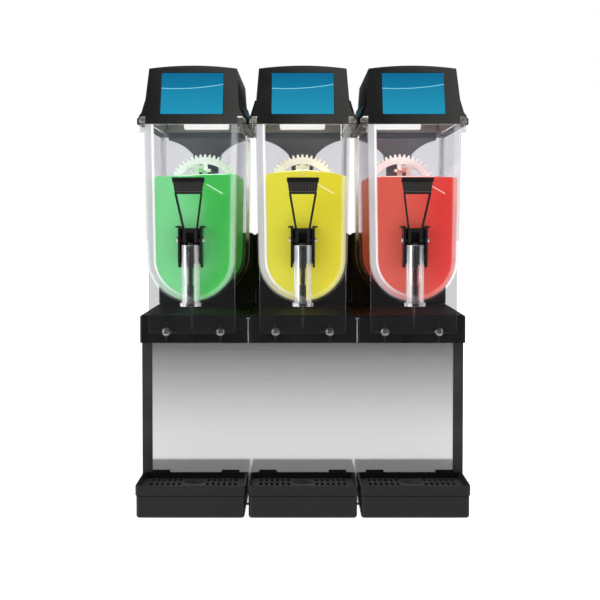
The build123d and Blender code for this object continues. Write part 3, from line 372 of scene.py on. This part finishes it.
def clear_bowl():
    """Bowl wall with painted highlights on its corners, in a band inside its front edge and in streaks on the
    tap tube, and painted shade at the outer edge of the front.
    """
    shader = ClearShader("clear_bowl", (0.84, 0.84, 0.87), (0.985, 0.985, 0.99), 0.16)
    _, y, z = shader.axes()
    side = shader.across()
    flare = shader.ramp(z, DRUM_Z, 718 * MM, BOWL_RADIUS, BOWL_RADIUS + 4.5 * MM)
    sunk = shader.math("MINIMUM", shader.math("SUBTRACT", z, DRUM_Z), 0.0)
    reach = shader.math("DIVIDE", shader.length(side, sunk), flare)
    front = shader.math("LESS_THAN", y, BOWL_FRONT + 3.5 * MM)
    leftward = shader.ramp(side, 10 * MM, -25 * MM, smooth=True)
    low = shader.ramp(z, DRUM_Z - 74 * MM, DRUM_Z - 15 * MM, 0.18, 1.0)
    # Painted highlights inside the front edge: a white arc on the left and a pale sleeve along the wall,
    # fainter towards the bottom.
    line = shader.math(
        "MULTIPLY",
        shader.ramp(reach, 0.79, 0.83, smooth=True),
        shader.ramp(reach, 0.88, 0.85, smooth=True),
    )
    line = shader.math("MULTIPLY", shader.math("MULTIPLY", line, leftward), 0.75)
    edge = shader.math(
        "MULTIPLY", shader.ramp(reach, 0.84, 0.87, smooth=True), shader.ramp(reach, 1.0, 0.97)
    )
    edge_share = shader.math("MULTIPLY_ADD", leftward, 0.55, 0.11)
    sleeve = shader.math("MULTIPLY", edge, edge_share)
    band = shader.math("MULTIPLY", shader.math("MAXIMUM", line, sleeve), low)
    band = shader.math("MULTIPLY", band, front)
    # Painted shade: the haze turns grey in the edge zone on the left of each module.
    grey = shader.math("MULTIPLY", edge, leftward)
    shader.put("Base Color", shader.mix(grey, (0.84, 0.84, 0.87), (0.52, 0.52, 0.54)))
    # Painted shade: what is seen through the outer edge of the front wall is darkened.
    under = shader.math("MULTIPLY", front, shader.ramp(reach, 0.97, 1.0))
    shader.darken_through(under, (0.68, 0.68, 0.685))
    # Painted highlights: pale streaks left and right of the tap tube's dark core.
    from_tap = shader.length(side, shader.math("SUBTRACT", y, TAP_Y))
    tube = shader.math("LESS_THAN", from_tap, 19.5 * MM)
    left = shader.ramp(side, -5 * MM, -8 * MM)
    right = shader.ramp(side, 6 * MM, 9 * MM)
    streak = shader.ramp(shader.noise(1.0, 3, at=shader.stretched((420, 420, 12))), 0.4, 0.62, 0.25, 1.0)
    sheen = shader.math("MULTIPLY_ADD", left, 0.35, 0.5)
    glow = shader.math("MULTIPLY", streak, sheen)
    glow = shader.math("MULTIPLY", shader.math("MAXIMUM", left, right), glow)
    tube_highlight = shader.math("MULTIPLY", tube, glow)
    # Painted highlights on the rounded corners, fainter on the skirt.
    skirt = shader.math("LESS_THAN", z, DRUM_Z - 40 * MM)
    edges = shader.math("MULTIPLY", shader.corner, shader.math("MULTIPLY_ADD", skirt, -0.24, 0.32))
    edges = shader.math("MULTIPLY", edges, shader.ramp(z, 350 * MM, 400 * MM, 0.2, 1.0))
    total = shader.math("MAXIMUM", shader.math("MAXIMUM", tube_highlight, edges), band)
    shader.haze_and_highlight(shader.math("ADD", total, 0.006, clamp=True))
    shader.gloss(shader.ramp(z, 372 * MM, 395 * MM, 0.04, 1.0))
    return shader.material


def label_print():
    """Printed blue field: deep at the top, with a light wave and a fine dot screen under it."""
    shader = Shader("label_blue", (0.01, 0.2, 0.36), 0.3, Specular_IOR_Level=0.1)
    x, y, z = shader.axes()
    across = shader.across()
    field = shader.mix(
        shader.ramp(z, 738 * MM, 812 * MM), (0.005, 0.2, 0.33), (0.0, 0.11, 0.225)
    )
    bend = shader.math("ADD", across, 30 * MM)
    wave = shader.math("MULTIPLY", shader.math("MULTIPLY", bend, bend), 1.1)
    wave = shader.math("ADD", wave, 784.5 * MM)
    away = shader.math("SUBTRACT", z, wave)
    line = shader.math("LESS_THAN", shader.math("ABSOLUTE", away), 0.6 * MM)
    dots = shader.math(
        "MULTIPLY",
        shader.math("SINE", shader.math("MULTIPLY", x, 1500)),
        shader.math("SINE", shader.math("MULTIPLY", z, 1500)),
    )
    screen = shader.math(
        "MULTIPLY", shader.ramp(dots, 0.0, 0.6, 0, 0.55), shader.math("LESS_THAN", away, 0)
    )
    front = shader.math("LESS_THAN", y, LABEL_FRONT)
    dotted = shader.mix(screen, field, (0.025, 0.31, 0.45))
    waved = shader.math("MULTIPLY", line, front)
    shader.put("Base Color", shader.mix(waved, dotted, (0.2, 0.52, 0.66)))
    return shader.material


def lamp_glow():
    """Frosted cover, lit from behind."""
    shader = Shader("lamp", (0.08, 0.08, 0.08), 0.4, Emission_Color=(1, 0.99, 0.97))
    shader.put("Emission Strength", shader.ramp(shader.noise(60, 2), 0.3, 0.7, 0.84, 0.9))
    return shader.material


def slush_ice(name, deep, pale, rim):
    """Wet crushed ice: deep colour, paler towards the left of each module, with a painted highlight along the
    rounded front edge, a painted highlight streak and a painted glow.
    """
    shader = Shader(name, deep, 0.3, Subsurface_Weight=0.15, Subsurface_Scale=0.02)
    shader.put("Subsurface Radius", (0.6, 0.6, 0.6))
    _, y, z = shader.axes()
    side = shader.across()
    sunk = shader.math("MINIMUM", shader.math("SUBTRACT", z, DRUM_Z), 0.0)
    reach = shader.length(side, sunk)
    # Paler towards the left of each module, along a noisy border.
    swirl = shader.ramp(shader.noise(9, 2), 0.3, 0.7, -25 * MM, 25 * MM)
    left_paler_share = shader.ramp(shader.math("ADD", side, swirl), 45 * MM, -15 * MM, smooth=True)
    body = shader.mix(left_paler_share, deep, pale)
    grain = shader.noise(420, 3)
    speckled = shader.mix(shader.ramp(grain, 0.5, 0.8, 0, 0.2), body, rim)
    # Painted highlight: paler along the rounded front edge near the wall.
    edge = shader.ramp(reach, 64 * MM, 76 * MM, smooth=True)
    face = shader.ramp(y, -165 * MM, -178 * MM)
    edge_highlight_share = shader.math("MULTIPLY", shader.math("MULTIPLY", edge, face), 0.4)
    with_edge_highlight = shader.mix(edge_highlight_share, speckled, rim)
    # A painted highlight streak on the front of the ice, to the right of the lever's paddle.
    run = shader.ramp(side, 27 * MM, 56 * MM)
    line = shader.math("MULTIPLY_ADD", run, -17 * MM, 611 * MM)
    off = shader.math("ABSOLUTE", shader.math("SUBTRACT", z, line))
    inside = shader.math(
        "MULTIPLY", shader.math("GREATER_THAN", run, 0.0), shader.math("LESS_THAN", run, 1.0)
    )
    front = shader.math("LESS_THAN", y, -178 * MM)
    streak_highlight = shader.math("MULTIPLY", inside, front)
    streak_highlight = shader.math("MULTIPLY", streak_highlight, shader.ramp(off, 1.5 * MM, 0.5 * MM))
    bright = tuple(min(1.0, c * 0.5 + 0.45) for c in rim)
    colour = shader.mix(shader.math("MULTIPLY", streak_highlight, 0.8), with_edge_highlight, bright)
    shader.put("Base Color", colour)
    # Painted light: the ice glows in its own colour, more towards the rear, where its flanks lie in shade.
    shader.put("Emission Color", colour)
    shader.put("Emission Strength", shader.ramp(y, -175 * MM, 60 * MM, 0.22, 0.6))
    shader.put("Normal", shader.bump(grain, 0.15, 0.3 * MM).outputs[0])
    return shader.material


def make_materials():
    """One material for each slot of the record."""
    return {
        "rubber_feet": moulded("rubber_feet", (0.02, 0.02, 0.02), 0.8).material,
        "dark_steel": moulded("dark_steel", (0.03, 0.03, 0.033), 0.45, grain=0.5).material,
        "brushed_panel": brushed_panel(),
        "bright_steel": sheet_metal("bright_steel", (0.72, 0.72, 0.73), 0.28, (300, 300, 4)).material,
        "black_plastic": moulded("black_plastic", (0.009, 0.009, 0.0095), 0.38, shine=0.18).material,
        "gloss_black": moulded("gloss_black", (0.006, 0.006, 0.0075), 0.3, grain=0.05, shine=0.08).material,
        "mast_plastic": mast_plastic(),
        "lid_plastic": lid_plastic(),
        "tray_plastic": tray_plastic(),
        "label_blue": label_print(),
        "switch_red": moulded("switch_red", (0.5, 0.02, 0.015), 0.25).material,
        "black_enamel": moulded("black_enamel", (0.015, 0.015, 0.015), 0.22).material,
        "fin_metal": sheet_metal("fin_metal", (0.75, 0.75, 0.75), 0.35, (4, 4, 300)).material,
        "cast_metal": sheet_metal("cast_metal", (0.4, 0.4, 0.41), 0.55, (80, 80, 80)).material,
        "lamp": lamp_glow(),
        "clear_plate": clear_plate(),
        "clear_bowl": clear_bowl(),
        "seal_rubber": seal_rubber(),
        "white_plastic": moulded("white_plastic", (0.84, 0.84, 0.83), 0.35, grain=0.1).material,
        "slush_green": slush_ice("slush_green", (0.025, 0.38, 0.05), (0.14, 0.52, 0.2), (0.26, 0.66, 0.32)),
        "slush_yellow": slush_ice("slush_yellow", (0.58, 0.5, 0.001), (0.58, 0.54, 0.02), (0.64, 0.63, 0.13)),
        "slush_red": slush_ice("slush_red", (0.58, 0.018, 0.012), (0.55, 0.07, 0.045), (0.64, 0.2, 0.15)),
    }


def dress_cad(materials):
    """Gives each CAD node the material of its slot."""
    brackets = bracket_plastic()
    knobs = knob_plastic()
    grilles = moulded("grille_plastic", (0.03, 0.03, 0.031), 0.45, grain=0.4, edge=0.6, shine=0.15).material
    posts = moulded("post_plastic", (0.022, 0.022, 0.023), 0.42, shine=0.2).material
    levers = lever_plastic()
    for part in frame["record"]["subparts"]:
        node = frame["nodes"][part["node"]]
        material = materials[part["material_slot"]]
        if part["node"].startswith("tap_bracket"):
            material = brackets
        elif part["node"].startswith("knob"):
            material = knobs
        elif part["node"].startswith("tap_lever"):
            material = levers
        elif part["node"].startswith("drip_grille"):
            material = grilles
        elif part["node"] == "front_posts":
            material = posts
        node.data.materials.clear()
        node.data.materials.append(material)
        if part["material_slot"] in ("clear_bowl", "clear_plate"):
            node.visible_shadow = False


# ---- Pieces made here -----------------------------------------------------------------------
def mesh_piece(name, vertices, faces, material, smooth=True):
    data = bpy.data.meshes.new(name)
    data.from_pydata(vertices, [], faces)
    data.update()
    if material:
        data.materials.append(material)
    piece = bpy.data.objects.new(name, data)
    bpy.context.collection.objects.link(piece)
    if smooth:
        data.shade_smooth()
    return piece


SLUSH = {
    "left": {"dome": 1.0, "tilt": 3.0, "rise": 3.5},
    "centre": {"dome": 11.0, "tilt": 0.0, "rise": 1.5},
    "right": {"dome": 1.5, "tilt": -1.0, "rise": 0.5},
}


def slush_outline(low, high, wall, dome, tilt, rise):
    """Points round one slice of the drink, from the middle of its top, in X and Z."""
    middle = (low.x + high.x) / 2
    radius = DRUM_Z - low.z
    half = (high.x - low.x) / 2
    points = []
    crown = 28
    for step in range(crown + 1):
        across = -math.cos(math.pi * step / crown)
        lift = rise + dome * (1 - across**2) + tilt * across - 1.5 * abs(across) ** 20
        points.append((middle + across * (half - wall), high.z + lift * MM - 0.4 * wall))
    for step in range(1, 7):
        share = step / 7
        width = half + (radius - half) * share
        points.append((middle + width - wall, high.z + (DRUM_Z - high.z) * share))
    arc = 40
    for step in range(arc + 1):
        turn = -math.pi * step / arc
        reach = radius - wall
        points.append((middle + reach * math.cos(turn), DRUM_Z + reach * math.sin(turn)))
    for step in range(6, 0, -1):
        share = step / 7
        width = half + (radius - half) * share
        points.append((middle - width + wall, high.z + (DRUM_Z - high.z) * share))
    return points


def apply_modifiers(piece):
    """Puts the result of a piece's modifiers into its mesh."""
    graph = bpy.context.evaluated_depsgraph_get()
    shaped = bpy.data.meshes.new_from_object(piece.evaluated_get(graph))
    piece.modifiers.clear()
    piece.data = shaped


def cutter(name, middle, height, radius, front, back):
    """Round bar along Y that cuts the space swept by a turning part."""
    sides = 96
    ring = [(math.cos(2 * math.pi * i / sides), math.sin(2 * math.pi * i / sides)) for i in range(sides)]
    vertices = [(middle + radius * a, y, height + radius * b) for y in (front, back) for a, b in ring]
    faces = [(i, sides + i, sides + (i + 1) % sides, (i + 1) % sides) for i in range(sides)]
    faces += [tuple(range(sides)), tuple(range(2 * sides - 1, sides - 1, -1))]
    return mesh_piece(name, vertices, faces, None)


def make_slush(side, material):
    """The drink as one crowned body with rounded front edges, open where the auger and mixer turn."""
    low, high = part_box(f"slush_{side}")
    middle = (low.x + high.x) / 2
    rounding = 9 * MM
    rows = [(low.y + rounding * (1 - math.cos(t)), rounding * (1 - math.sin(t)))
            for t in (math.pi / 2 * i / 5 for i in range(6))]
    rows += [(low.y + (high.y - low.y) * share, 0) for share in (0.1, 0.25, 0.4, 0.55, 0.7, 0.85, 1.0)]
    vertices = []
    for y, inset in rows:
        for px, pz in slush_outline(low, high, inset, **SLUSH[side]):
            vertices.append((px, y, pz))
    count = len(vertices) // len(rows)
    faces = []
    for row in range(len(rows) - 1):
        for i in range(count):
            a = row * count + i
            b = row * count + (i + 1) % count
            faces.append((a, b, b + count, a + count))
    faces.append(tuple(range(count - 1, -1, -1)))
    faces.append(tuple(range((len(rows) - 1) * count, len(rows) * count)))
    piece = mesh_piece(f"slush_fill_{side}", vertices, faces, material)
    work = bmesh.new()
    work.from_mesh(piece.data)
    bmesh.ops.recalc_face_normals(work, faces=work.faces)
    work.to_mesh(piece.data)
    work.free()
    auger_low, auger_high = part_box(f"auger_{side}")
    auger_reach = (auger_high.x - auger_low.x) / 2
    wheel_low, wheel_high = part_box(f"mixer_wheel_{side}")
    wheel_z = wheel_high.z - (wheel_high.x - wheel_low.x) / 2
    tools = (
        cutter("auger_space", middle, DRUM_Z, auger_reach + 0.5 * MM, auger_low.y - 3 * MM, high.y + 0.01),
        cutter("mixer_space", middle, wheel_z, 49.5 * MM, wheel_low.y - 4 * MM, high.y + 0.01),
    )
    for tool in tools:
        cut = piece.modifiers.new(tool.name, "BOOLEAN")
        cut.object = tool
        cut.operation = "DIFFERENCE"
        cut.solver = "EXACT"
    apply_modifiers(piece)
    for tool in tools:
        bpy.data.objects.remove(tool)
    piece.data.set_sharp_from_angle(angle=math.radians(40))
    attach(piece, f"bowl_{side}")
    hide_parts(f"slush_{side}")


def upright_bar(name, middle, front, depth, outline, material):
    """Bar along Y with an outline in X and Z, fixed to the chassis."""
    count = len(outline)
    vertices = [(middle + across * MM, y, up * MM) for y in (front, front + depth) for across, up in outline]
    faces = [tuple(range(count)), tuple(range(2 * count - 1, count - 1, -1))]
    faces += [(i, i + count, (i + 1) % count + count, (i + 1) % count) for i in range(count)]
    bar = mesh_piece(name, vertices, faces, material, smooth=False)
    edges = bar.modifiers.new("bevel", "BEVEL")
    edges.width = 0.3 * MM
    edges.segments = 2
    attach(bar, "chassis")


def make_seams(materials):
    """T-shaped steel strips between the deck covers, and black seams between the rear housings."""
    low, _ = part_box("deck_covers")
    foot = low.z / MM
    strip = [
        (-0.8, 2), (0.8, 2), (0.8, 44.5), (7.5, 44.5), (8.2, 45.2), (7.5, 46.2), (-7.5, 46.2), (-8.2, 45.2),
        (-7.5, 44.5), (-0.8, 44.5),
    ]
    strip = [(across, foot + up) for across, up in strip]
    gasket = [
        (-1, 350), (1, 350), (1, 511), (2.2, 515.5), (0.8, 514.5), (-0.8, 514.5), (-2.2, 515.5), (-1, 511),
    ]
    bars = (
        ("joint_strip", low.y + 1 * MM, 6 * MM, strip, "bright_steel"),
        ("housing_seam", 214 * MM, 50 * MM, gasket, "black_plastic"),
    )
    for side, middle in (("left", -PITCH / 2), ("right", PITCH / 2)):
        for name, front, depth, outline, slot in bars:
            upright_bar(f"{name}_{side}", middle, front, depth, outline, materials[slot])


# ---- Stage ----------------------------------------------------------------------------------
def make_stage():
    floor = mesh_piece(
        "floor",
        [(-30, -30, 0), (30, -30, 0), (30, 30, 0), (-30, 30, 0)],
        [(0, 1, 2, 3)],
        Shader(
            "floor_white", (0.5, 0.5, 0.5), 0.9, Emission_Color=(1, 1, 1), Emission_Strength=1.0,
            Specular_IOR_Level=0.0,
        ).material,
        smooth=False,
    )
    floor.location.z = -0.0005
    floor.visible_glossy = False
    world = bpy.data.worlds.new("studio")
    bpy.context.scene.world = world
    world.use_nodes = True
    nodes = world.node_tree.nodes
    links = world.node_tree.links
    nodes.clear()
    output = nodes.new("ShaderNodeOutputWorld")
    shown = nodes.new("ShaderNodeBackground")
    shown.inputs["Color"].default_value = (1, 1, 1, 1)
    lit = nodes.new("ShaderNodeBackground")
    lit.inputs["Color"].default_value = (1, 1, 1, 1)
    lit.inputs["Strength"].default_value = 0.75
    mirrored = nodes.new("ShaderNodeBackground")
    mirrored.inputs["Color"].default_value = (1, 1, 1, 1)
    heading = nodes.new("ShaderNodeTexCoord")
    split = nodes.new("ShaderNodeSeparateXYZ")
    links.new(heading.outputs["Generated"], split.inputs[0])

    def glow(axis, start, end, strength):
        """Strength of the reflected room, rising from one heading to another."""
        rise = nodes.new("ShaderNodeMapRange")
        rise.interpolation_type = "SMOOTHSTEP"
        for socket, value in zip(rise.inputs[1:5], (start, end, 0.0, strength)):
            socket.default_value = value
        links.new(split.outputs[axis], rise.inputs[0])
        return rise.outputs[0]

    def brighter(first, second):
        most = nodes.new("ShaderNodeMath")
        most.operation = "MAXIMUM"
        links.new(first, most.inputs[0])
        links.new(second, most.inputs[1])
        return most.outputs[0]

    room = brighter(glow(2, -0.082, -0.172, 1.05), glow(2, 0.3, 0.8, 0.3))
    room = brighter(room, glow(1, 0.1, 0.7, 0.15))
    room = brighter(room, brighter(glow(0, 0.45, 0.75, 1.1), glow(0, -0.45, -0.75, 1.3)))
    links.new(room, mirrored.inputs["Strength"])
    path = nodes.new("ShaderNodeLightPath")
    gloss = nodes.new("ShaderNodeMixShader")
    links.new(path.outputs["Is Glossy Ray"], gloss.inputs[0])
    links.new(lit.outputs[0], gloss.inputs[1])
    links.new(mirrored.outputs[0], gloss.inputs[2])
    mix = nodes.new("ShaderNodeMixShader")
    links.new(path.outputs["Is Camera Ray"], mix.inputs[0])
    links.new(gloss.outputs[0], mix.inputs[1])
    links.new(shown.outputs[0], mix.inputs[2])
    links.new(mix.outputs[0], output.inputs["Surface"])
    for name, place, size, power in (
        ("key", (-1.9, -2.4, 1.7), 1.2, 26),
        ("fill", (2.1, -2.2, 1.2), 1.2, 14),
        ("top", (0.0, 0.2, 2.6), 2.0, 20),
        ("rim", (1.5, 2.0, 1.8), 1.4, 14),
        ("glint", (-2.2, -1.3, 0.7), 0.9, 34),
    ):
        data = bpy.data.lights.new(name, "AREA")
        data.size = size
        data.energy = power
        light = bpy.data.objects.new(name, data)
        light.location = place
        aim = Vector((0, 0, 0.4)) - Vector(place)
        light.rotation_euler = aim.to_track_quat("-Z", "Y").to_euler()
        light.visible_glossy = name != "top"
        light.visible_diffuse = name != "glint"
        bpy.context.collection.objects.link(light)
    for side in SIDES:
        low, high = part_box(f"lid_{side}")
        data = bpy.data.lights.new(f"lamp_{side}", "AREA")
        data.size = 110 * MM
        data.energy = 0.6
        light = bpy.data.objects.new(f"lamp_{side}", data)
        light.location = ((low.x + high.x) / 2, -20 * MM, high.z - 40 * MM)
        light.visible_camera = False
        bpy.context.collection.objects.link(light)
    bpy.context.scene.view_settings.view_transform = "Standard"


make_camera()
make_stage()
materials = make_materials()
dress_cad(materials)
for side, slot in (("left", "slush_green"), ("centre", "slush_yellow"), ("right", "slush_red")):
    make_slush(side, materials[slot])
make_seams(materials)
